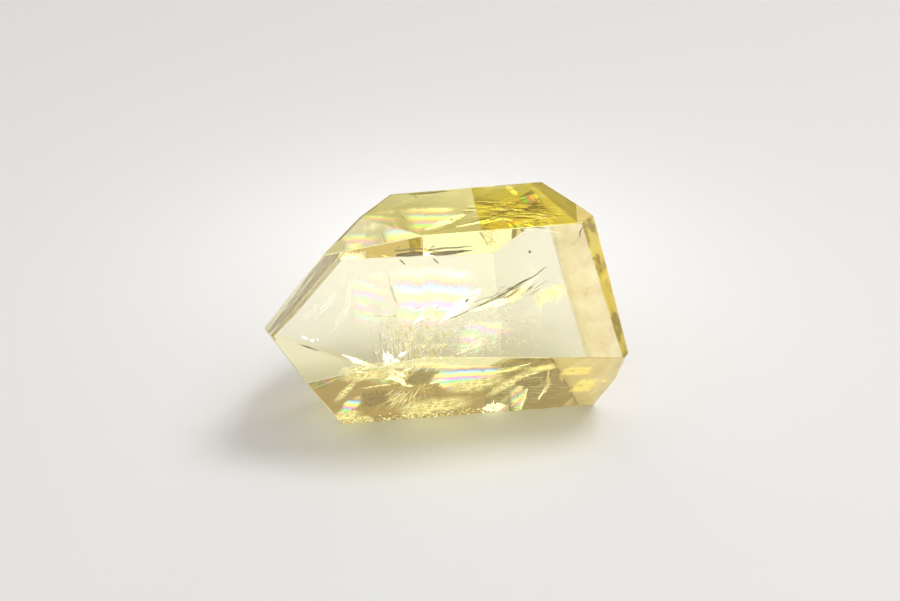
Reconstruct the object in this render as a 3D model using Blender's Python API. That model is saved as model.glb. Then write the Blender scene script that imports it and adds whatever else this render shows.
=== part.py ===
# A pale citrine point that lies on one of its prism faces, cut and polished all round.
#
# Metres, +Z up. +X runs along the crystal from its tip to its sawn base, and -Y is its broad front.
# The origin is on the surface that it lies on, under the middle of its bounding box.

from math import cos, radians, sin

import bmesh
import bpy
from mathutils import Matrix, Vector

OBJECT_NAME = "crystal_point"
COLLECTION_NAME = "citrine_crystal_point"

# The block that the facets are cut from, and the height of the long axis over the resting face.
BLOCK_SIZE = (0.090, 0.064, 0.064)
AXIS_HEIGHT = 0.0171

# Each facet is (turn, lean, reach). Turn is its angle about the long axis, in degrees up from the
# level front. Lean tips it towards the crystal's tip, or towards the base where it is negative.
# Reach is how far it lies from the middle of the axis.
PRISM_FACETS = {
    "front upper": (27.0, 0.5, 0.0180),
    "top": (95.5, -4.0, 0.0150),
    "back upper": (150.5, -3.5, 0.0127),
    "back lower": (207.5, 4.0, 0.0137),
    "resting": (270.0, 0.0, AXIS_HEIGHT),
    "front lower": (-38.8, 9.2, 0.01556),
}
TIP_FACETS = {
    "large front": (30.7, 26.0, 0.01951),
    "upper": (83.0, 17.0, 0.0191),
    "back": (140.5, 36.0, 0.0146),
    "underside": (271.2, 58.3, 0.02286),
    "small front": (19.9, 30.3, 0.02128),
}

# The sawn base is square to the axis. A broad bevel takes off its back edge, slender polished strips
# break its front edges, and a shallow facet the corner that it makes with the top.
BASE_FACETS = {
    "sawn base": (174.5, -83.5, 0.01976),
    "back bevel": (213.0, -46.0, 0.01744),
    "front strip": (34.9, -42.7, 0.02629),
    "lower strip": (-32.8, -40.1, 0.02901),
    "corner facet": (92.8, -10.7, 0.01754),
}

# Corners that come out closer than this are one corner on the stone.
CORNER_MERGE = 0.00025
EDGE_POLISH = 0.00012

CITRINE_COLOUR = (0.93, 0.88, 0.52, 1.0)
CITRINE_ROUGHNESS = 0.03
CITRINE_INDEX = 1.545


def facet_normal(turn, lean):
    """The outward direction of a facet, from its turn about X and its lean along X."""
    turn = radians(turn)
    lean = radians(lean)
    return Vector((-sin(lean), -cos(lean) * cos(turn), cos(lean) * sin(turn)))


def cut_facet(crystal, turn, lean, reach):
    """Cuts away what lies outside one plane, and closes the cut with one face."""
    normal = facet_normal(turn, lean)
    cut = bmesh.ops.bisect_plane(
        crystal,
        geom=crystal.verts[:] + crystal.edges[:] + crystal.faces[:],
        dist=1e-7,
        plane_co=Vector((0, 0, AXIS_HEIGHT)) + normal * reach,
        plane_no=normal,
        clear_outer=True,
    )
    rim = [item for item in cut["geom_cut"] if isinstance(item, bmesh.types.BMEdge)]
    bmesh.ops.contextual_create(crystal, geom=rim)


def stand_on_origin(crystal):
    """Moves the crystal level, until the middle of its bounding box is over the origin."""
    for axis in (0, 1):
        places = [vert.co[axis] for vert in crystal.verts]
        shift = Vector((0, 0, 0))
        shift[axis] = -(min(places) + max(places)) / 2
        bmesh.ops.translate(crystal, verts=crystal.verts, vec=shift)


def make_crystal():
    """The whole crystal, as one closed faceted solid."""
    crystal = bmesh.new()
    size = Matrix.Diagonal((*BLOCK_SIZE, 1.0))
    middle = Matrix.Translation((0, 0, AXIS_HEIGHT))
    bmesh.ops.create_cube(crystal, size=1.0, matrix=middle @ size)
    for facets in (PRISM_FACETS, TIP_FACETS, BASE_FACETS):
        for turn, lean, reach in facets.values():
            cut_facet(crystal, turn, lean, reach)
    bmesh.ops.remove_doubles(crystal, verts=crystal.verts, dist=CORNER_MERGE)
    stand_on_origin(crystal)
    bmesh.ops.bevel(
        crystal,
        geom=crystal.edges[:],
        offset=EDGE_POLISH,
        offset_type="OFFSET",
        segments=1,
        profile=0.5,
        affect="EDGES",
        clamp_overlap=True,
        material=-1,
    )
    bmesh.ops.recalc_face_normals(crystal, faces=crystal.faces)
    return crystal


def make_citrine():
    """Clear, faintly yellow quartz."""
    citrine = bpy.data.materials.new("citrine")
    citrine.use_nodes = True
    shader = citrine.node_tree.nodes["Principled BSDF"]
    shader.inputs["Base Color"].default_value = CITRINE_COLOUR
    shader.inputs["Roughness"].default_value = CITRINE_ROUGHNESS
    shader.inputs["Metallic"].default_value = 0.0
    shader.inputs["IOR"].default_value = CITRINE_INDEX
    shader.inputs["Transmission Weight"].default_value = 1.0
    return citrine


def main():
    for old in list(bpy.data.objects):
        bpy.data.objects.remove(old, do_unlink=True)
    mesh = bpy.data.meshes.new(OBJECT_NAME)
    crystal = make_crystal()
    crystal.to_mesh(mesh)
    crystal.free()
    mesh.materials.append(make_citrine())
    holder = bpy.data.collections.new(COLLECTION_NAME)
    bpy.context.scene.collection.children.link(holder)
    holder.objects.link(bpy.data.objects.new(OBJECT_NAME, mesh))


main()
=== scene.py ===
import random
from math import cos, pi, radians, sin

import bmesh
import bpy
from mathutils import Matrix, Vector, noise


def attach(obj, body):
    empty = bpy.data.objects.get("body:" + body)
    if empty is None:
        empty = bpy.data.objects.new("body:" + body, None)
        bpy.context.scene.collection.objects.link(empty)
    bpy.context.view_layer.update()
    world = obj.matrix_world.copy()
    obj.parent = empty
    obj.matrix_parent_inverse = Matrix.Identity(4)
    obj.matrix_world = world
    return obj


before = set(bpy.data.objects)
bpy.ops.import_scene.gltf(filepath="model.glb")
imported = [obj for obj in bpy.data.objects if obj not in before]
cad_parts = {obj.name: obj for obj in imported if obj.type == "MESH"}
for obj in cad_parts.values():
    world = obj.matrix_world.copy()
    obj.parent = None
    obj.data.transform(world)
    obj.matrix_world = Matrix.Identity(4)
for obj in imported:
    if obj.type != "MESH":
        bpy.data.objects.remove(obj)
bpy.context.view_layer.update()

mm = 0.001
scene = bpy.context.scene
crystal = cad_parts["crystal_point"]


def facetNormal(turn, lean):
    turn, lean = radians(turn), radians(lean)
    return Vector((-sin(lean), -cos(lean) * cos(turn), cos(lean) * sin(turn)))


cameraSettings = {  # lengths are in mm
    "turn": 20.5,  # degrees round towards the tip
    "rise": 27.8,
    "away": 427.8,
    "lookAt": (5.54, 3.70, 15.87),
    "lens": 114.1,
    "clip": (0.01, 20),  # metres
}


def makeCamera(s):
    turn, rise = radians(s["turn"]), radians(s["rise"])
    back = Vector((-sin(turn) * cos(rise), -cos(turn) * cos(rise), sin(rise)))
    data = bpy.data.cameras.new("camera")
    data.lens = s["lens"]
    data.clip_start, data.clip_end = s["clip"]
    camera = bpy.data.objects.new("camera", data)
    scene.collection.objects.link(camera)
    camera.location = Vector(s["lookAt"]) * mm + back * s["away"] * mm
    camera.rotation_mode = "QUATERNION"
    camera.rotation_quaternion = (-back).to_track_quat("-Z", "Y")
    scene.camera = camera


makeCamera(cameraSettings)

floorSettings = {
    "width": 6000,
    "drop": 0.02,  # just clear of the resting face
    "colour": (0.86, 0.86, 0.855, 1),
    "roughness": 0.55,
    "specular": 0.3,
}


def makeFloor(s):
    bm = bmesh.new()
    bmesh.ops.create_grid(bm, x_segments=1, y_segments=1, size=s["width"] * mm / 2)
    bmesh.ops.translate(bm, verts=bm.verts, vec=(0, 0, -s["drop"] * mm))
    mesh = bpy.data.meshes.new("floor")
    bm.to_mesh(mesh)
    bm.free()
    floor = bpy.data.objects.new("floor", mesh)
    scene.collection.objects.link(floor)
    paint = bpy.data.materials.new("floorPaint")
    paint.use_nodes = True
    shader = paint.node_tree.nodes["Principled BSDF"]
    shader.inputs["Base Color"].default_value = s["colour"]
    shader.inputs["Roughness"].default_value = s["roughness"]
    shader.inputs["Specular IOR Level"].default_value = s["specular"]
    mesh.materials.append(paint)


makeFloor(floorSettings)

lightSettings = {
    "key": {
        "at": (275, -117, 618),
        "aim": (0, 0, 0),
        "size": (360, 300),
        "power": 1.9,
        "colour": (1, 1, 1),
    },
    "fill": {
        "at": (-420, 60, 560),
        "aim": (0, 0, 0),
        "size": (400, 300),
        "power": 0.25,
        "colour": (1, 1, 1),
    },
    "rear": {  # lifts the floor close behind, which shows through the large faces
        "at": (22, 50, 45),
        "aim": (20, 42, 0),
        "size": (30, 30),
        "power": 0.008,
        "colour": (1, 0.97, 0.88),
        "hidden": True,  # from the camera, in mirrors and through the crystal
    },
}


def makeLights(settings):
    for name, s in settings.items():
        data = bpy.data.lights.new(name, "AREA")
        data.shape = "RECTANGLE"
        data.size, data.size_y = s["size"][0] * mm, s["size"][1] * mm
        data.energy = s["power"]
        data.color = s["colour"]
        lamp = bpy.data.objects.new(name, data)
        scene.collection.objects.link(lamp)
        if s.get("hidden"):
            lamp.visible_camera = lamp.visible_glossy = lamp.visible_transmission = False
        lamp.location = Vector(s["at"]) * mm
        ray = Vector(s["aim"]) * mm - lamp.location
        lamp.rotation_euler = ray.to_track_quat("-Z", "Y").to_euler()


makeLights(lightSettings)


def addNode(tree, kind, inputs=None, **settings):
    made = tree.nodes.new(kind)
    for name, value in settings.items():
        setattr(made, name, value)
    for key, value in (inputs or {}).items():
        if isinstance(value, bpy.types.NodeSocket):
            tree.links.new(value, made.inputs[key])
        else:
            made.inputs[key].default_value = value
    return made


def calc(tree, operation, *values):
    made = addNode(tree, "ShaderNodeMath", dict(enumerate(values)), operation=operation)
    return made.outputs[0]


def fadeIn(tree, value, low, high):
    ends = {"Value": value, "From Min": low, "From Max": high}
    return addNode(tree, "ShaderNodeMapRange", ends, interpolation_type="SMOOTHSTEP").outputs[0]


def blend(tree, factor, first, second, how="MIX"):
    parts = {"Factor": factor, "A": first, "B": second}
    return addNode(tree, "ShaderNodeMix", parts, data_type="RGBA", blend_type=how).outputs["Result"]


worldSettings = {
    "seen": (0.85, 0.85, 0.86, 1),  # what the camera itself sees; all other rays see the rest
    "pale": (0.43, 0.43, 0.44, 1),
    "windows": (  # where each is, the cosines of its outer and inner edge, its light
        ((-0.10, -0.68, 0.72), (0.82, 0.905), (1.15, 1.17, 1.22, 1)),
        ((0.52, -0.53, 0.67), (0.970, 0.995), (0.72, 0.57, 0.34, 1)),
    ),
    "backdrop": (0.42, 0.29, 0.15, 1),  # a warm band behind
    "backdropDepth": (0.25, 0.45),
    "backdropTop": (0.66, 0.50),
    "backdropFoot": (0.10, 0.26),
}


def makeWorld(s):
    world = bpy.data.worlds.new("studio")
    world.use_nodes = True
    scene.world = world
    tree = world.node_tree
    place = addNode(tree, "ShaderNodeTexCoord").outputs["Generated"]
    split = addNode(tree, "ShaderNodeSeparateXYZ", {0: place})
    path = addNode(tree, "ShaderNodeLightPath")
    room = s["pale"]
    for at, spread, light in s["windows"]:
        aim = {0: place, 1: Vector(at).normalized()}
        facing = addNode(tree, "ShaderNodeVectorMath", aim, operation="DOT_PRODUCT").outputs["Value"]
        room = blend(tree, fadeIn(tree, facing, *spread), room, light)
    behind = fadeIn(tree, split.outputs["Y"], *s["backdropDepth"])
    for band in ("backdropTop", "backdropFoot"):
        behind = calc(tree, "MULTIPLY", behind, fadeIn(tree, split.outputs["Z"], *s[band]))
    room = blend(tree, behind, room, s["backdrop"])
    seen = blend(tree, path.outputs["Is Camera Ray"], room, s["seen"])
    tree.links.new(seen, tree.nodes["Background"].inputs["Color"])


makeWorld(worldSettings)
scene.view_settings.view_transform = "Standard"
bounces = 64
scene.cycles.max_bounces = bounces
scene.cycles.transmission_bounces = bounces
scene.cycles.glossy_bounces = bounces  # total reflection inside counts as gloss
scene.cycles.transparent_max_bounces = bounces
print("stage ready")

middle = Vector((3.3328, 3.4409, 17.1))  # of the crystal's long axis, in mm

facets = {  # turn and lean in degrees, reach from the middle in mm
    "front": (27.0, 0.5, 18.0),
    "top": (95.5, -4.0, 15.0),
    "back": (150.5, -3.5, 12.7),
    "lowerBack": (207.5, 4.0, 13.7),
    "rest": (270.0, 0.0, 17.1),
    "lowerFront": (-38.8, 9.2, 15.56),
    "tipFront": (30.7, 26.0, 19.51),
    "tipTop": (83.0, 17.0, 19.1),
    "tipBack": (140.5, 36.0, 14.6),
    "tipUnder": (271.2, 58.3, 22.86),
    "tipSmall": (19.9, 30.3, 21.28),
    "base": (174.5, -83.5, 19.76),
    "bevel": (213.0, -46.0, 17.44),
    "strip": (34.9, -42.7, 26.29),
    "lowerStrip": (-32.8, -40.1, 29.01),
    "corner": (92.8, -10.7, 17.54),
}

insets = {  # mm inside a facet
    "tinted": 0.13,  # all that is nearer takes the facet's painted tint
    "veil": 0.35,  # where a sheet named after the facet lies
    "sheet": 0.2,  # where sheets are cut off
    "flake": 0.1,  # where flakes are left out
}

citrineSettings = {
    "index": 1.545,
    "absorb": (0.975, 0.91, 0.27, 1),
    "density": 14.0,
    "baseRoughness": 0.42,
    # colours painted on single faces, tinting what shows through each: on the top face and the tip's upper
    # face they are painted light and shade of the floor seen through them, on the other faces tints that
    # match what shows through; the top face's wisps are the stone's own colour
    "faceTints": {
        "topLeft": (0.95, 0.92, 0.29, 1),
        "topGold": (0.75, 0.60, 0.01, 1),
        "topOlive": (0.58, 0.46, 0.02, 1),
        "topPale": (0.98, 0.90, 0.18, 1),
        "topFar": (0.30, 0.25, 0.01, 1),
        "lowerFront": (1.0, 0.96, 0.46, 1),
        "lowerFar": (0.68, 0.58, 0.22, 1),
        "tipSmall": (1.0, 0.97, 0.74, 1),
        "tipTop": (0.93, 0.89, 0.55, 1),
        "corner": (0.95, 0.80, 0.25, 1),
    },
    "wisps": {"Scale": 620, "Detail": 5, "Roughness": 0.6, "Distortion": 0.8},
    "wispTurn": -6,
    "wispStretch": (0.28, 1, 1),
    "paleWisps": (0.52, 0.68),
    "oliveWisps": (0.47, 0.33),
    # where a painted tint begins, in mm, and how far it fades before and after that
    "topEdge": {"slope": 0.290, "at": 8.22, "soft": (0.1, 0.2)},  # of x - slope * y; the painted edge between light and shade on the floor seen through the top face
    "farEdge": {"at": 20.4, "soft": (0.1, 0.3)},  # of x
    "lowerEdge": {"slope": 0.628, "at": 22.75, "soft": (0.2, 0.2)},  # of x + slope * z
    "stripStops": (  # height in mm and colour, painted light and shade of the floor seen through the strip
        (14, (0.70, 0.60, 0.12, 1)),
        (20, (0.86, 0.74, 0.14, 1)),
        (24.4, (0.92, 0.78, 0.14, 1)),
        (25.4, (0.34, 0.27, 0.04, 1)),
        (26.2, (0.80, 0.66, 0.16, 1)),
        (28, (1.0, 0.95, 0.40, 1)),
        (32, (1.0, 0.99, 0.75, 1)),
    ),
}


def facetPlane(name, inside):
    turn, lean, reach = facets[name]
    normal = facetNormal(turn, lean)
    return normal, (reach + normal.dot(middle) - inside) * mm


def facetMask(tree, place, name):
    normal, limit = facetPlane(name, insets["tinted"])
    along = addNode(tree, "ShaderNodeVectorMath", {0: place, 1: normal}, operation="DOT_PRODUCT")
    return calc(tree, "GREATER_THAN", along.outputs["Value"], limit)


def edgeFade(tree, side, edge):
    before, after = edge["soft"]
    return fadeIn(tree, side, (edge["at"] - before) * mm, (edge["at"] + after) * mm)


def makeCitrine(s):
    material = bpy.data.materials.new("citrine")
    material.use_nodes = True
    tree = material.node_tree
    shader = tree.nodes["Principled BSDF"]
    shader.inputs["IOR"].default_value = s["index"]
    shader.inputs["Transmission Weight"].default_value = 1.0
    place = addNode(tree, "ShaderNodeTexCoord").outputs["Object"]
    split = addNode(tree, "ShaderNodeSeparateXYZ", {0: place})
    x, y, z = split.outputs[0], split.outputs[1], split.outputs[2]
    faceTints = s["faceTints"]

    # the top face is painted pale on one side of a straight edge and gold on the other, darker at the far
    # end: painted light and shade of the floor seen through it. The gold lies in long wisps, which are the
    # stone's own
    stretched = {"Vector": place, "Rotation": (0, 0, radians(s["wispTurn"])), "Scale": s["wispStretch"]}
    stretch = addNode(tree, "ShaderNodeMapping", stretched)
    wisp = addNode(tree, "ShaderNodeTexNoise", {"Vector": stretch.outputs[0], **s["wisps"]}).outputs[0]
    gold = blend(tree, fadeIn(tree, wisp, *s["paleWisps"]), faceTints["topGold"], faceTints["topPale"])
    gold = blend(tree, fadeIn(tree, wisp, *s["oliveWisps"]), gold, faceTints["topOlive"])
    side = calc(tree, "SUBTRACT", x, calc(tree, "MULTIPLY", y, s["topEdge"]["slope"]))
    top = blend(tree, edgeFade(tree, side, s["topEdge"]), faceTints["topLeft"], gold)
    top = blend(tree, edgeFade(tree, x, s["farEdge"]), top, faceTints["topFar"])
    tint = blend(tree, facetMask(tree, place, "top"), (1, 1, 1, 1), top)

    # the lower front face is tinted pale yellow towards the tip and darker towards the base end, to match
    # the colour that shows through it
    side = calc(tree, "ADD", x, calc(tree, "MULTIPLY", z, s["lowerEdge"]["slope"]))
    lower = blend(tree, edgeFade(tree, side, s["lowerEdge"]), faceTints["lowerFront"], faceTints["lowerFar"])
    tint = blend(tree, facetMask(tree, place, "lowerFront"), tint, lower)
    # painted light: the tip's upper face is painted yellower, for the gold light on the floor seen through
    # it; the small tip face and the corner take flat tints
    for name in ("tipSmall", "tipTop", "corner"):
        tint = blend(tree, facetMask(tree, place, name), tint, faceTints[name])

    # the front strip is painted paler higher up, with a dark band near 25 mm: painted light and shade of
    # the floor seen through it
    low, high = s["stripStops"][0][0], s["stripStops"][-1][0]
    height = addNode(tree, "ShaderNodeMapRange", {0: z, 1: low * mm, 2: high * mm}).outputs[0]
    stops = addNode(tree, "ShaderNodeValToRGB", {0: height})
    elements = stops.color_ramp.elements
    for number, (level, colour) in enumerate(s["stripStops"]):
        spot = (level - low) / (high - low)
        stop = elements[number] if number < 2 else elements.new(spot)  # a new ramp has two
        stop.position = spot
        stop.color = colour
    tint = blend(tree, facetMask(tree, place, "strip"), tint, stops.outputs[0])
    tree.links.new(tint, shader.inputs["Base Color"])

    # the sawn base is left matt
    matt = calc(tree, "MULTIPLY", facetMask(tree, place, "base"), s["baseRoughness"])
    tree.links.new(matt, shader.inputs["Roughness"])
    depth = addNode(tree, "ShaderNodeVolumeAbsorption", {"Color": s["absorb"], "Density": s["density"]})
    tree.links.new(depth.outputs["Volume"], tree.nodes["Material Output"].inputs["Volume"])
    return material


citrine = makeCitrine(citrineSettings)
for slot in crystal.material_slots:
    slot.material = citrine
print("crystal ready")

# what is sealed inside: flat breaks, veils and grains

planes = {  # a point in mm, then turn and lean in degrees
    "fracture": ((2.5, 9.2, 14.4), 36.0, 0.0),
    "feather": ((6.0, 7.0, 14.0), 50.0, 0.0),
    "patch": ((19.5, 5.3, 13.4), 42.0, 0.0),
    "grain": ((2.5, -1.5, 12.4), 30.0, 0.0),
    "column": ((-5.0, -5.1, 15.7), 20.0, 8.0),
    "sparkle": ((-7.8, -8.5, 17.4), 0.0, 10.0),
    "tipInner": ((-13.1, -8.8, 15.7), 20.0, 20.0),
    "lower": ((-2.1, -8.1, 10.3), -38.8, 9.2),
    "lowerDeep": ((-6.4, -6.7, 12.2), -38.8, 9.2),
    "tip": ((-17.9, -5.9, 17.2), 30.7, 26.0),
    "tipUpper": ((-14.8, -1.9, 22.5), 30.7, 26.0),
    "topInner": ((15.9, -2.0, 30.2), 95.5, -4.0),
    "ridge": ((7.2, 17.5, 16.8), 27.0, 0.0),
}


# the origin at the plane's point, with x to the right and y up, seen from the side it faces
def planeMatrix(name):
    if name in facets:
        turn, lean, _ = facets[name]
        normal, limit = facetPlane(name, insets["veil"])
        at = middle + normal * (limit / mm - normal.dot(middle))
    else:
        at, turn, lean = planes[name]
        normal = facetNormal(turn, lean)
    across = Vector((0, 0, 1)).cross(normal).normalized()
    upward = normal.cross(across)
    turned = Matrix((across, upward, normal)).transposed().to_4x4()
    return Matrix.Translation(Vector(at) * mm) @ turned


def between(values, t):
    spot = min(max(t, 0), 1) * (len(values) - 1)
    first = min(int(spot), len(values) - 2)
    part = spot - first
    return values[first] * (1 - part) + values[first + 1] * part


# "flat" holds places on the sheet in mm, "rim" runs from -1 to 1 over it
def uvLayers(bm):
    layers = bm.loops.layers.uv
    return [layers.get(name) or layers.new(name) for name in ("flat", "rim")]


sheetDefaults = {  # lengths are in mm
    "thickness": 0.03,
    "steps": (28, 6),
    "widths": (0.12, 0.7, 0.95, 1, 0.9, 0.65, 0.1),  # shares of the full width, from end to end
    "bow": (0, 0),  # how far the middle line strays, from end to end
    "ragged": 0.5,
    "endShare": 0.2,  # of ragged, at the two ends
    "rough": 31,  # how quickly the torn edge changes
    "bend": 0.15,
    "bendRate": 0.5,
    "spin": 0,
    "move": (0, 0),
    "lift": 0,
}
sideRow, endRow = 4, 9  # the sides and the ends read the noise in rows of their own


def addSheet(bm, s, plane, seed):
    s = {**sheetDefaults, **s}
    long, wide = s["size"]
    long, wide = long * mm, wide * mm
    across, upward = s["steps"]
    made = bmesh.ops.create_grid(bm, x_segments=across, y_segments=upward, size=0.5)["verts"]
    flat, rim = uvLayers(bm)
    where = {}
    for vert in made:
        t, v = vert.co.x + 0.5, vert.co.y
        row = sideRow if v > 0 else -sideRow
        edge = 1 + s["ragged"] * noise.noise(Vector((t * s["rough"], row, seed)))
        row = endRow if t > 0.5 else -endRow
        end = 1 + s["endShare"] * s["ragged"] * noise.noise(Vector((v * s["rough"], row, seed)))
        x = (t - 0.5) * long * end
        y = v * wide * between(s["widths"], t) * edge + between(s["bow"], t) * mm
        where[vert] = (x / mm, y / mm), (2 * t - 1, 2 * v)
        spot = Vector((x / mm * s["bendRate"], y / mm * s["bendRate"], seed))
        vert.co = Vector((x, y, s["bend"] * mm * noise.noise(spot)))
    faces = {face for vert in made for face in vert.link_faces}
    for face in faces:
        for loop in face.loops:
            loop[flat].uv, loop[rim].uv = where[loop.vert]
    bmesh.ops.solidify(bm, geom=list(faces), thickness=s["thickness"] * mm)
    spun = Matrix.Rotation(radians(s["spin"]), 4, "Z")
    across, upward = s["move"]
    shift = Matrix.Translation((across * mm, upward * mm, s["lift"] * mm))
    bmesh.ops.transform(bm, matrix=planeMatrix(plane) @ shift @ spun, verts=bm.verts)
    for name in facets:  # cut off whatever would reach out of the crystal
        normal, limit = facetPlane(name, insets["sheet"])
        if all(normal.dot(vert.co) < limit for vert in bm.verts):
            continue
        whole = bm.verts[:] + bm.edges[:] + bm.faces[:]
        bmesh.ops.bisect_plane(
            bm, geom=whole, dist=1e-7, plane_co=normal * limit, plane_no=normal, clear_outer=True
        )
        bmesh.ops.holes_fill(bm, edges=[edge for edge in bm.edges if edge.is_boundary], sides=0)


def finishPiece(name, bm, paint):
    bmesh.ops.recalc_face_normals(bm, faces=bm.faces)
    mesh = bpy.data.meshes.new(name)
    bm.to_mesh(mesh)
    bm.free()
    mesh.materials.append(paint)
    mesh.shade_smooth()
    piece = bpy.data.objects.new(name, mesh)
    scene.collection.objects.link(piece)
    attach(piece, "root")


seedStep = 3.7  # from one sheet of a piece to the next


def makeSheets(name, plane, sheets, paint):
    whole = bmesh.new()
    uvLayers(whole)
    for number, s in enumerate(sheets):
        bm = bmesh.new()
        addSheet(bm, s, s.get("plane", plane), len(name) + seedStep * number)
        single = bpy.data.meshes.new("single")
        bm.to_mesh(single)
        bm.free()
        whole.from_mesh(single)
        bpy.data.meshes.remove(single)
    finishPiece(name, whole, paint)


flakeDefaults = {  # lengths are in mm
    "thickness": 0.025,
    "sides": 6,
    "uneven": (0.7, 1.15),
    "crowding": 0.5,
    "spin": 0,
    "fan": 0,  # degrees more at the end of the spread
    "wobble": 180,
    "tilt": 35,
    "depth": 0.8,
}


def makeFlakes(name, plane, s, paint):
    s = {**flakeDefaults, **s}
    chance = random.Random(name)
    bm = bmesh.new()
    flat = uvLayers(bm)[0]
    placed = planeMatrix(plane)
    margins = [facetPlane(facet, insets["flake"]) for facet in facets]
    tilt = radians(s["tilt"])
    for number in range(s["count"]):
        bulge = chance.gauss(0, s["crowding"]), chance.gauss(0, s["crowding"])
        u = s["move"][0] + s["spread"][0] * max(-1, min(1, bulge[0]))
        v = s["move"][1] + s["spread"][1] * max(-1, min(1, bulge[1]))
        long = chance.uniform(*s["long"]) * mm
        wide = chance.uniform(*s["wide"]) * mm
        made = bmesh.ops.create_circle(bm, cap_ends=True, segments=s["sides"], radius=0.5)["verts"]
        for vert in made:
            vert.co *= chance.uniform(*s["uneven"])
            vert.co.x *= long
            vert.co.y *= wide
        face = made[0].link_faces[0]
        for loop in face.loops:
            loop[flat].uv = (u + loop.vert.co.x / mm, v + loop.vert.co.y / mm)
        grown = bmesh.ops.solidify(bm, geom=[face], thickness=s["thickness"] * mm)["geom"]
        verts = {vert for item in grown if isinstance(item, bmesh.types.BMFace) for vert in item.verts}
        verts.update(made)
        fan = s["fan"] * (u - s["move"][0]) / s["spread"][0]
        spin = radians(s["spin"] + fan + chance.uniform(-1, 1) * s["wobble"])
        spun = Matrix.Rotation(spin, 4, "Z")
        leanX = Matrix.Rotation(chance.uniform(-tilt, tilt), 4, "X")
        leanY = Matrix.Rotation(chance.uniform(-tilt, tilt), 4, "Y")
        depth = chance.uniform(-1, 1) * s["depth"]
        shift = Matrix.Translation((u * mm, v * mm, depth * mm))
        bmesh.ops.transform(bm, matrix=placed @ shift @ spun @ (leanX @ leanY), verts=list(verts))
        if any(normal.dot(vert.co) > limit for normal, limit in margins for vert in verts):
            bmesh.ops.delete(bm, geom=list(verts), context="VERTS")
    finishPiece(name, bm, paint)


fringeWaves = (640, 545, 455)  # red, green and blue light in nm


# the colours that light takes on in a gap of so many nm, paler as the paleness grows
def makeGapFringes():
    group = bpy.data.node_groups.new("gapFringes", "ShaderNodeTree")
    group.interface.new_socket("Gap", in_out="INPUT", socket_type="NodeSocketFloat")
    group.interface.new_socket("Paleness", in_out="INPUT", socket_type="NodeSocketFloat")
    group.interface.new_socket("Color", in_out="OUTPUT", socket_type="NodeSocketColor")
    start = group.nodes.new("NodeGroupInput")
    end = group.nodes.new("NodeGroupOutput")
    lights = []
    for wave in fringeWaves:
        turns = calc(group, "MULTIPLY", start.outputs["Gap"], 4 * pi / wave)  # there and back
        lights.append(calc(group, "MULTIPLY_ADD", calc(group, "COSINE", turns), -0.5, 0.5))
    joined = addNode(group, "ShaderNodeCombineColor", dict(enumerate(lights))).outputs[0]
    soft = blend(group, start.outputs["Paleness"], joined, (1, 1, 1, 1))
    group.links.new(soft, end.inputs[0])
    return group


gapFringes = makeGapFringes()


streakNoise = {"Detail": 5.0, "Roughness": 0.62, "Distortion": 0.6}
patchScale = 0.45  # of the streaks' scale, so the patches are larger


def makeStreaks():
    group = bpy.data.node_groups.new("streaks", "ShaderNodeTree")
    group.interface.new_socket("Vector", in_out="INPUT", socket_type="NodeSocketVector")
    for name in ("Scale", "Stretch", "Seed"):
        group.interface.new_socket(name, in_out="INPUT", socket_type="NodeSocketFloat")
    for name in ("Streaks", "Patches"):
        group.interface.new_socket(name, in_out="OUTPUT", socket_type="NodeSocketFloat")
    start = group.nodes.new("NodeGroupInput")
    end = group.nodes.new("NodeGroupOutput")
    even = start.outputs["Vector"]
    drawn = addNode(group, "ShaderNodeCombineXYZ", {0: start.outputs["Stretch"], 1: 1.0, 2: 1.0})
    parts = {0: even, 1: drawn.outputs[0]}
    longways = addNode(group, "ShaderNodeVectorMath", parts, operation="MULTIPLY").outputs[0]
    for place, socket, share in ((longways, "Streaks", 1.0), (even, "Patches", patchScale)):
        fineness = calc(group, "MULTIPLY", start.outputs["Scale"], share)
        parts = {"Vector": place, "W": start.outputs["Seed"], "Scale": fineness, **streakNoise}
        grain = addNode(group, "ShaderNodeTexNoise", parts, noise_dimensions="4D")
        group.links.new(grain.outputs[0], end.inputs[socket])
    return group


streaks = makeStreaks()


paintDefaults = {
    "scale": 1.6,
    "stretch": 0.3,  # below 1 the streaks run along the sheet
    "seed": 1.0,
    "stir": 160,  # nm that the gap wanders
    "pale": 0.45,
    "contrast": (0.38, 0.62),
    # painted light: how strongly the paint gives off its own colour, in place of light it would catch and
    # reflect
    "paintedGlow": 0.3,
    "polish": 0.35,
    "metal": 0.0,
    "torn": "Patches",  # or "Streaks": what opens the holes
    "patchy": (0.30, 0.55),
    "cover": 0.6,
    "reach": 1.22,  # of a rim: from here outwards the paint is gone
    "fray": 0.5,  # of a rim: how far the streaks eat into it
}


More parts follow.
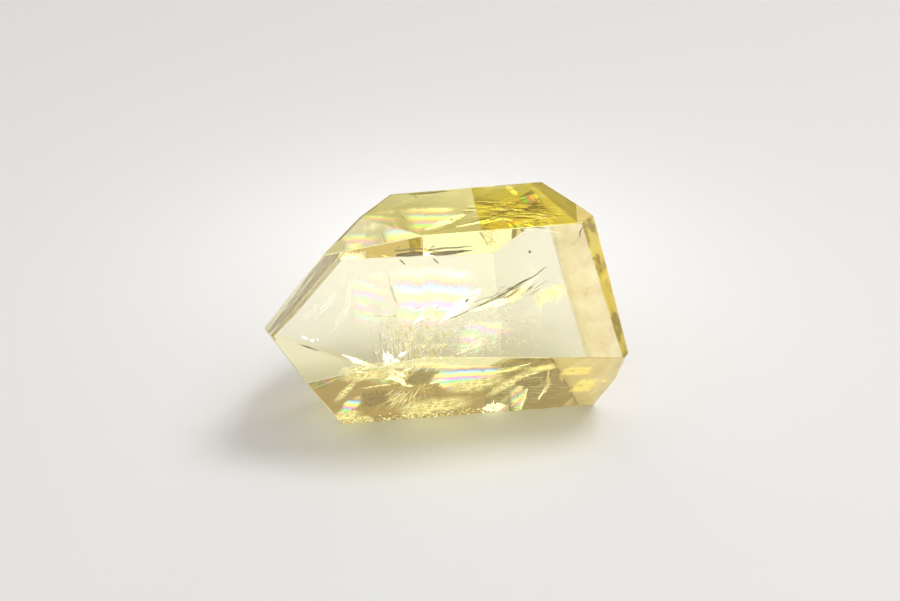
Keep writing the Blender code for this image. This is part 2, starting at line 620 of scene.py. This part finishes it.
# "gap" gives fringes: nm at the middle, then nm lost per mm upwards and gained per mm along. Without
# it, "dark" and "light" are blended. "rim" wears the paint thin towards the edges.
def makeFlawPaint(name, s):
    s = {**paintDefaults, **s}
    material = bpy.data.materials.new(name)
    material.use_nodes = True
    tree = material.node_tree
    shader = tree.nodes["Principled BSDF"]
    flat = addNode(tree, "ShaderNodeUVMap", uv_map="flat").outputs[0]
    pattern = addNode(tree, "ShaderNodeGroup", node_tree=streaks)
    tree.links.new(flat, pattern.inputs["Vector"])
    pattern.inputs["Scale"].default_value = s["scale"]
    pattern.inputs["Stretch"].default_value = s["stretch"]
    pattern.inputs["Seed"].default_value = s["seed"]
    if "gap" in s:
        split = addNode(tree, "ShaderNodeSeparateXYZ", {0: flat})
        start, rise, sweep = s["gap"]
        gap = calc(tree, "MULTIPLY_ADD", split.outputs[1], -rise, start)
        gap = calc(tree, "MULTIPLY_ADD", split.outputs[0], sweep, gap)
        gap = calc(tree, "MULTIPLY_ADD", pattern.outputs["Patches"], s["stir"], gap)
        fringe = addNode(tree, "ShaderNodeGroup", node_tree=gapFringes)
        tree.links.new(gap, fringe.inputs["Gap"])
        fringe.inputs["Paleness"].default_value = s["pale"]
        colour = fringe.outputs[0]
    else:
        mixed = fadeIn(tree, pattern.outputs["Streaks"], *s["contrast"])
        colour = blend(tree, mixed, s["dark"], s["light"])
    tree.links.new(colour, shader.inputs["Base Color"])
    # painted light and reflection: the colour, fringes included, also glows, for the light the breaks,
    # veils and grains catch
    tree.links.new(colour, shader.inputs["Emission Color"])
    shader.inputs["Emission Strength"].default_value = s["paintedGlow"]
    shader.inputs["Roughness"].default_value = s["polish"]
    shader.inputs["Metallic"].default_value = s["metal"]
    cover = fadeIn(tree, pattern.outputs[s["torn"]], *s["patchy"])
    if "rim" in s:
        spot = addNode(tree, "ShaderNodeUVMap", uv_map="rim").outputs[0]
        split = addNode(tree, "ShaderNodeSeparateXYZ", {0: spot})
        across, upward = (calc(tree, "ABSOLUTE", split.outputs[axis]) for axis in (0, 1))
        outward = calc(tree, "MAXIMUM", across, upward)
        worn = calc(tree, "MULTIPLY_ADD", pattern.outputs["Streaks"], s["fray"], outward)
        kept = fadeIn(tree, worn, s["reach"], s["reach"] - s["rim"])
        cover = calc(tree, "MULTIPLY", cover, kept)
    cover = calc(tree, "MULTIPLY", cover, s["cover"])
    tree.links.new(cover, shader.inputs["Alpha"])
    return material


rainbowPaint = makeFlawPaint(
    "rainbowBreak",
    {
        "gap": (330, 84, -22),
        "stir": 150,
        "scale": 0.7,
        "pale": 0.46,
        "paintedGlow": 1.2,
        "polish": 0.3,
        "cover": 0.38,
        "patchy": (0.22, 0.5),
        "rim": 0.55,
        "seed": 3,
    },
)
makeSheets(
    "rainbow_fracture",
    "fracture",
    [
        {
            "size": (10.0, 10.2),
            "move": (1.9, -0.1),
            "widths": (0.9, 1.0, 1.0, 0.95, 0.75, 0.5, 0.25),
            "bow": (0, 0, 0.1, 0.3, 0.7, 1.3, 2.1),
            "ragged": 0.2,
            "rough": 9,
            "steps": (50, 36),
            "bend": 0.35,
        },
    ],
    rainbowPaint,
)
palePaint = makeFlawPaint(
    "paleRainbow",
    {
        "gap": (420, 120, -45),
        "stir": 420,
        "scale": 0.8,
        "pale": 0.45,
        "paintedGlow": 1.1,
        "polish": 0.3,
        "cover": 0.28,
        "patchy": (0.40, 0.62),
        "rim": 0.55,
        "seed": 8,
    },
)
lowRainbowPaint = makeFlawPaint(
    "lowRainbow",
    {
        "gap": (340, 88, -22),
        "stir": 210,
        "scale": 0.9,
        "pale": 0.30,
        "paintedGlow": 0.95,
        "polish": 0.3,
        "cover": 0.72,
        "patchy": (0.26, 0.5),
        "rim": 0.5,
        "seed": 6,
    },
)
makeSheets(
    "low_fractures",
    "lower",
    [
        {"size": (12.0, 7.0), "move": (5.0, 3.6), "spin": 12, "lift": 1.0, "steps": (40, 14), "bend": 0.3},
        {"size": (1.8, 3.4), "move": (2.2, 0.2), "spin": 20, "ragged": 1.2, "lift": 1.2},
        {"size": (3.0, 7.0), "move": (-11.4, -4.8), "spin": -14, "ragged": 0.8, "lift": 1.0},
    ],
    lowRainbowPaint,
)
makeSheets(
    "pale_fractures",
    "fracture",
    [
        {
            "size": (7.4, 10.0),
            "move": (-6.2, 0.4),
            "widths": (0.6, 0.9, 1, 1),
            "steps": (40, 36),
            "bend": 0.4,
        },
        {
            "plane": "grain",
            "size": (11.0, 5.2),
            "move": (4.4, 0.2),
            "steps": (40, 24),
            "lift": -1.5,
            "bend": 0.5,
        },
    ],
    palePaint,
)
# painted highlights: white breaks and sparkles for the glints of the fractures, partly real mirror gloss
# and partly glow
brightPaint = makeFlawPaint(
    "brightBreak",
    {
        "dark": (0.72, 0.66, 0.42, 1),
        "light": (1, 1, 0.98, 1),
        "contrast": (0.34, 0.5),
        "metal": 1.0,
        "polish": 0.25,
        "paintedGlow": 0.75,
        "cover": 0.95,
        "torn": "Streaks",
        "patchy": (0.30, 0.42),
        "scale": 3.5,
        "stretch": 0.4,
    },
)
makeSheets(
    "bright_breaks",
    "fracture",
    [
        {
            "size": (8.4, 2.0),
            "move": (3.3, -2.2),
            "spin": 28.6,
            "widths": (0.05, 0.35, 0.65, 0.95, 1, 0.75, 0.3),
        },
        {"plane": "feather", "size": (6.6, 0.7), "move": (3.9, -1.35), "spin": 10},
        {"plane": "tipInner", "size": (4.8, 0.6), "spin": -20.6, "widths": (0.1, 0.6, 1, 0.7, 0.8, 0.2)},
        {"plane": "lowerDeep", "size": (6.2, 1.5), "spin": -54, "widths": (0.5, 1, 0.9, 0.6, 0.9, 0.3)},
        {"plane": "lower", "size": (3.4, 3.8), "move": (10.6, -10.8), "spin": 4, "ragged": 1.2},
        {"plane": "sparkle", "size": (1.5, 1.5), "move": (-0.4, -2.4), "ragged": 2.0, "spin": 20},
        {"plane": "sparkle", "size": (1.9, 0.9), "move": (1.0, -3.4), "ragged": 2.0, "spin": -50},
        {"plane": "sparkle", "size": (1.4, 0.6), "move": (1.7, -2.0), "ragged": 1.6, "spin": 30},
        {"plane": "sparkle", "size": (1.5, 0.5), "move": (-0.6, -4.3), "ragged": 1.6, "spin": 10},
        {"plane": "tip", "size": (1.1, 0.3), "move": (-2.3, 1.3), "spin": -18, "ragged": 1.6},
        {"plane": "tip", "size": (0.6, 0.45), "move": (-1.2, 1.0), "spin": 20, "ragged": 1.8},
        {"plane": "tip", "size": (0.5, 0.2), "move": (-0.4, 1.2), "spin": -30, "ragged": 1.6},
        {"plane": "feather", "size": (4.4, 0.35), "move": (6.6, -1.4), "spin": 16, "ragged": 1.2},
        {"plane": "feather", "size": (3.4, 0.3), "move": (11.0, 1.1), "spin": 26, "ragged": 1.2},
    ],
    brightPaint,
)
featherPaint = makeFlawPaint(
    "darkBreak",
    {
        "dark": (0.20, 0.19, 0.13, 1),
        "light": (0.55, 0.53, 0.42, 1),
        "paintedGlow": 0.0,
        "cover": 0.72,
        "stretch": 0.12,
    },
)
makeSheets(
    "dark_breaks",
    "feather",
    [
        {
            "size": (12.6, 0.75),
            "move": (8.1, 0.9),
            "spin": 20,
            "bow": (0, -0.35, -0.35, -0.15, -0.35, 0),
            "widths": (0.1, 0.45, 0.6, 0.5, 0.35, 0.3, 0.2, 0.12),
        },
        {"size": (7.0, 0.16), "move": (6.4, -0.2), "spin": 17, "lift": 0.4},
        {"size": (5.2, 0.14), "move": (-1.6, -2.25), "spin": 13},
        {
            "plane": "fracture",
            "size": (0.8, 0.3),
            "move": (4.5, -1.5),
            "spin": 40,
            "ragged": 1.2,
            "lift": 0.2,
        },
        {"plane": "tip", "size": (3.4, 0.1), "move": (-1.6, 0.0), "spin": -13.5},
        {"plane": "front", "size": (0.45, 0.4), "move": (9.4, 4.8), "ragged": 0.9, "steps": (8, 4)},
    ],
    featherPaint,
)
rustPaint = makeFlawPaint(
    "rustyCrack",
    {"dark": (0.42, 0.16, 0.10, 1), "light": (0.62, 0.30, 0.20, 1), "paintedGlow": 0.1, "cover": 0.8},
)
makeSheets(
    "rusty_crack",
    "front",
    [{"size": (1.7, 0.2), "move": (17.7, 6.4), "spin": 62, "bow": (0, 0.2, 0)}],
    rustPaint,
)
ridgePaint = makeFlawPaint(
    "greyPatch",
    {
        "dark": (0.24, 0.21, 0.20, 1),
        "light": (0.40, 0.35, 0.33, 1),
        "paintedGlow": 0.05,
        "cover": 0.75,
        "patchy": (0.05, 0.2),
        "scale": 0.8,
    },
)
makeSheets(
    "grey_ridge_break",
    "ridge",
    [
        {"size": (6.9, 0.75), "spin": -4, "widths": (0.3, 0.8, 1, 1, 0.9, 0.6, 0.3, 0.1), "ragged": 0.3},
        {"size": (1.3, 0.22), "move": (-2.6, -0.9), "spin": -50, "ragged": 0.3},
    ],
    ridgePaint,
)
softLinePaint = makeFlawPaint(
    "softLine",
    {"dark": (0.62, 0.58, 0.42, 1), "light": (0.86, 0.84, 0.70, 1), "paintedGlow": 0.1, "cover": 0.34, "rim": 0.9},
)
makeSheets(
    "soft_steps",
    "fracture",
    [
        {"size": (7.0, 0.6), "move": (-2.3, 1.0), "spin": -86, "bow": (0, -0.25, -0.1, 0.3)},
        {"size": (6.0, 0.35), "move": (-5.0, -1.9), "spin": -12, "bow": (0, -0.3, 0)},
    ],
    softLinePaint,
)
creamPaint = makeFlawPaint(
    "creamVeil",
    {
        "dark": (0.60, 0.49, 0.22, 1),
        "light": (1.0, 0.97, 0.74, 1),
        "paintedGlow": 0.55,
        "cover": 0.8,
        "torn": "Streaks",
        "patchy": (0.30, 0.56),
        "contrast": (0.38, 0.60),
        "scale": 3.4,
        "stretch": 0.42,
        "rim": 0.7,
    },
)
makeSheets(
    "cream_veils",
    "lower",
    [
        {"size": (11.0, 5.4), "move": (-9.4, 5.4), "spin": 4},
        {"size": (11.0, 1.9), "move": (-12.4, 0.6), "spin": 72, "lift": 0.4},
        {"size": (5.5, 6.5), "move": (-11.6, -9.6), "spin": 0, "ragged": 0.6},
        {"size": (14.5, 8.4), "move": (1.6, -8.6), "spin": 14, "ragged": 0.4},
        {"size": (12.0, 8.6), "move": (6.6, -0.6), "spin": 22, "ragged": 0.5},
        {"size": (13.0, 3.0), "move": (11.8, -1.4), "spin": 60, "lift": 0.5},
        {"size": (7.4, 1.4), "move": (14.6, 1.6), "spin": 34, "lift": 0.7},
        {"size": (8.0, 1.2), "move": (-7.5, 1.6), "spin": 12, "lift": 0.6},
    ],
    creamPaint,
)
flatBrownPaint = makeFlawPaint(
    "flatBrown",
    {
        "dark": (0.50, 0.37, 0.24, 1),
        "light": (0.66, 0.54, 0.36, 1),
        "paintedGlow": 0.12,
        "cover": 0.75,
        "patchy": (0.2, 0.4),
        "scale": 0.9,
        "rim": 0.5,
    },
)
makeSheets(
    "flat_brown_breaks",
    "lower",
    [
        {
            "size": (5.0, 7.6),
            "move": (-1.6, 3.8),
            "spin": -16,
            "lift": 0.8,
            "widths": (0.3, 1, 1, 0.9, 0.6),
        },
        {"size": (4.6, 7.4), "move": (-8.0, -3.4), "spin": 8, "lift": 0.8, "widths": (0.7, 1, 0.9, 1)},
        {"size": (7.0, 2.4), "move": (13.8, -2.0), "spin": -6, "lift": 0.4},
    ],
    flatBrownPaint,
)
softPatchPaint = makeFlawPaint(
    "softPatch",
    {
        "dark": (0.86, 0.76, 0.42, 1),
        "light": (1.0, 0.97, 0.74, 1),
        "paintedGlow": 0.62,
        "cover": 0.62,
        "patchy": (0.2, 0.5),
        "scale": 1.1,
        "stretch": 0.8,
        "rim": 0.7,
    },
)
makeSheets(
    "soft_patches",
    "patch",
    [
        {"size": (6.6, 2.9), "spin": 14, "widths": (0.6, 0.9, 0.9, 1, 1, 0.9, 0.6)},
        {"plane": "feather", "size": (5.6, 2.6), "move": (8.6, -0.4), "spin": 25},
        {
            "plane": "tipUpper",
            "size": (3.6, 1.6),
            "move": (3.4, 6.6),
            "spin": 8,
            "widths": (0.7, 1, 1, 0.8),
        },
    ],
    softPatchPaint,
)
goldPatchPaint = makeFlawPaint(
    "goldPatch",
    {
        "dark": (0.95, 0.80, 0.34, 1),
        "light": (1.0, 0.96, 0.55, 1),
        "paintedGlow": 0.7,
        "cover": 0.6,
        "patchy": (0.2, 0.45),
        "scale": 0.9,
        "rim": 0.4,
    },
)
makeSheets(
    "gold_patches",
    "lower",
    [
        {"size": (5.4, 4.0), "move": (21.6, 1.0), "spin": -8, "widths": (0.6, 1, 1, 0.7)},
        {"size": (4.0, 6.0), "move": (23.6, -5.0), "spin": -8, "widths": (0.7, 1, 1, 0.8)},
        {"size": (2.4, 1.2), "move": (27.0, -4.0), "spin": -18},
    ],
    goldPatchPaint,
)
# painted light: a gold veil just inside the front strip, for the gold light of the floor seen through the
# strip
goldPaint = makeFlawPaint(
    "stripGold",
    {
        "dark": (0.50, 0.38, 0.04, 1),
        "light": (1.0, 0.88, 0.30, 1),
        "contrast": (0.38, 0.56),
        "paintedGlow": 0.24,
        "cover": 0.6,
        "patchy": (0.2, 0.4),
        "scale": 0.35,
        "stretch": 1.0,
        "seed": 2,
    },
)
makeSheets("strip_gold", "strip", [{"size": (60, 60), "widths": (1, 1), "ragged": 0, "bend": 0}], goldPaint)
cloudPaint = makeFlawPaint(
    "baseCloud",
    {
        "dark": (0.84, 0.73, 0.52, 1),
        "light": (1.0, 0.95, 0.78, 1),
        "contrast": (0.30, 0.70),
        "paintedGlow": 0.44,
        "cover": 0.48,
        "torn": "Streaks",
        "patchy": (0.1, 0.4),
        "scale": 0.38,
        "stretch": 0.31,
        "seed": 5,
    },
)
makeSheets(
    "base_cloud",
    "base",
    [{"size": (60, 60), "spin": -29, "widths": (1, 1), "ragged": 0, "bend": 0}],
    cloudPaint,
)
# painted shade: brown patches just inside the back tip face darken what shows through it, for the dark
# brown seen through it from behind the stone
brownPaint = makeFlawPaint(
    "tipBrown",
    {
        "dark": (0.40, 0.28, 0.14, 1),
        "light": (0.72, 0.58, 0.34, 1),
        "paintedGlow": 0.05,
        "cover": 0.42,
        "patchy": (0.2, 0.6),
        "scale": 0.6,
    },
)
makeSheets(
    "tip_stain",
    "tipBack",
    [{"size": (30, 30), "widths": (1, 1), "ragged": 0, "bend": 0}],
    brownPaint,
)
wispPaint = makeFlawPaint(
    "paleWisp",
    {
        "dark": (0.90, 0.88, 0.72, 1),
        "light": (1.0, 0.99, 0.9, 1),
        "paintedGlow": 0.5,
        "cover": 0.4,
        "torn": "Streaks",
        "patchy": (0.42, 0.6),
        "scale": 2.2,
        "stretch": 0.12,
        "rim": 0.8,
    },
)
makeSheets(
    "pale_wisps",
    "tipUpper",
    [
        {"size": (9, 2.2), "move": (-0.6, -0.8), "spin": 50},
        {"size": (8, 1.8), "move": (1.6, -2.6), "spin": 58},
        {"size": (9, 2.4), "move": (2.6, 0.4), "spin": 84},
        {"size": (6, 1.4), "move": (-2.8, -2.0), "spin": 40},
        {"plane": "grain", "size": (10, 4), "move": (2.0, -1.2), "spin": 10, "lift": 2},
    ],
    wispPaint,
)
paleGrainPaint = makeFlawPaint(
    "paleGrain",
    {
        "dark": (0.95, 0.88, 0.52, 1),
        "light": (1, 1, 0.9, 1),
        "paintedGlow": 0.6,
        "cover": 0.8,
        "patchy": (0.1, 0.3),
    },
)
darkGrainPaint = makeFlawPaint(
    "darkGrain",
    {
        "dark": (0.42, 0.33, 0.09, 1),
        "light": (0.70, 0.58, 0.24, 1),
        "paintedGlow": 0.05,
        "cover": 0.6,
        "patchy": (0.1, 0.3),
    },
)
goldGrainPaint = makeFlawPaint(
    "goldGrain",
    {
        "dark": (0.76, 0.64, 0.24, 1),
        "light": (1, 0.97, 0.70, 1),
        "paintedGlow": 0.4,
        "cover": 0.75,
        "patchy": (0.1, 0.3),
    },
)
grainSettings = {
    "pale": {
        "count": 520,
        "move": (2.0, 0.2),
        "spread": (11.0, 4.6),
        "long": (0.08, 0.5),
        "wide": (0.04, 0.16),
    },
    "dark": {
        "count": 260,
        "move": (1.0, 0.2),
        "spread": (10.0, 4.4),
        "long": (0.08, 0.4),
        "wide": (0.03, 0.1),
    },
    "gold": {
        "count": 320,
        "move": (-4.2, 0.6),
        "spread": (3.0, 4.6),
        "long": (0.12, 0.8),
        "wide": (0.05, 0.24),
    },
}
makeFlakes("pale_grains", "grain", {**grainSettings["pale"], "depth": 2.4, "sides": 5}, paleGrainPaint)
makeFlakes("dark_grains", "grain", {**grainSettings["dark"], "depth": 2.4, "sides": 5}, darkGrainPaint)
makeFlakes("gold_grains", "grain", {**grainSettings["gold"], "depth": 2.0, "sides": 5}, goldGrainPaint)
columnSettings = {
    "move": (-0.6, -0.2),
    "spread": (4.0, 2.4),
    "wide": (0.05, 0.16),
    "sides": 8,
    "spin": 90,
    "fan": -10,
    "wobble": 5,
    "tilt": 8,
    "depth": 1.2,
}
makeFlakes("pale_columns", "column", {**columnSettings, "count": 60, "long": (0.8, 3.4)}, wispPaint)
makeFlakes("dark_columns", "column", {**columnSettings, "count": 30, "long": (0.6, 2.6)}, softLinePaint)
featherSettings = {
    "move": (7.4, -0.1),
    "spread": (6.0, 1.3),
    "wide": (0.04, 0.12),
    "sides": 8,
    "spin": 20,
    "fan": 8,
    "wobble": 9,
    "tilt": 10,
    "depth": 0.5,
}
makeFlakes("feather_glints", "feather", {**featherSettings, "count": 60, "long": (1.0, 4.6)}, wispPaint)
makeFlakes("feather_lines", "feather", {**featherSettings, "count": 46, "long": (0.8, 3.8)}, featherPaint)
fanSettings = {
    "move": (-4.0, -4.6),
    "spread": (3.6, 2.6),
    "wide": (0.04, 0.1),
    "sides": 8,
    "spin": 72,
    "fan": 22,
    "wobble": 8,
    "tilt": 8,
    "depth": 0.5,
}
makeFlakes("pale_fan", "lower", {**fanSettings, "count": 80, "long": (1.4, 4.2)}, paleGrainPaint)
makeFlakes("dark_fan", "lower", {**fanSettings, "count": 40, "long": (1.4, 4.0)}, darkGrainPaint)
striaSettings = {
    "move": (15.5, -5.5),
    "spread": (5.0, 5.5),
    "sides": 8,
    "spin": -4,
    "wobble": 7,
    "tilt": 8,
    "depth": 0.4,
}
makeFlakes(
    "pale_striae",
    "lower",
    {**striaSettings, "count": 50, "long": (1.0, 4.5), "wide": (0.04, 0.14)},
    wispPaint,
)
makeFlakes(
    "dark_striae",
    "lower",
    {**striaSettings, "count": 40, "long": (1.0, 4), "wide": (0.04, 0.12)},
    darkGrainPaint,
)
edgeSettings = {
    "move": (1.0, -12.0),
    "spread": (13.0, 1.8),
    "depth": 0.4,
    "long": (0.15, 0.9),
    "wide": (0.1, 0.4),
}
makeFlakes("edge_frost", "lower", {**edgeSettings, "count": 260}, paleGrainPaint)
makeFlakes("edge_specks", "lower", {**edgeSettings, "count": 150}, darkGrainPaint)
topSettings = {
    "move": (2.2, 0.6),
    "spread": (6.2, 3.6),
    "sides": 8,
    "spin": 10,
    "wobble": 16,
    "tilt": 6,
    "depth": 0.5,
}
makeFlakes(
    "top_wisps",
    "topInner",
    {**topSettings, "count": 60, "long": (1.0, 4.5), "wide": (0.1, 0.5)},
    paleGrainPaint,
)
makeFlakes(
    "top_shadows",
    "topInner",
    {**topSettings, "count": 60, "long": (1.0, 5), "wide": (0.1, 0.4)},
    darkGrainPaint,
)
print("flaws ready")
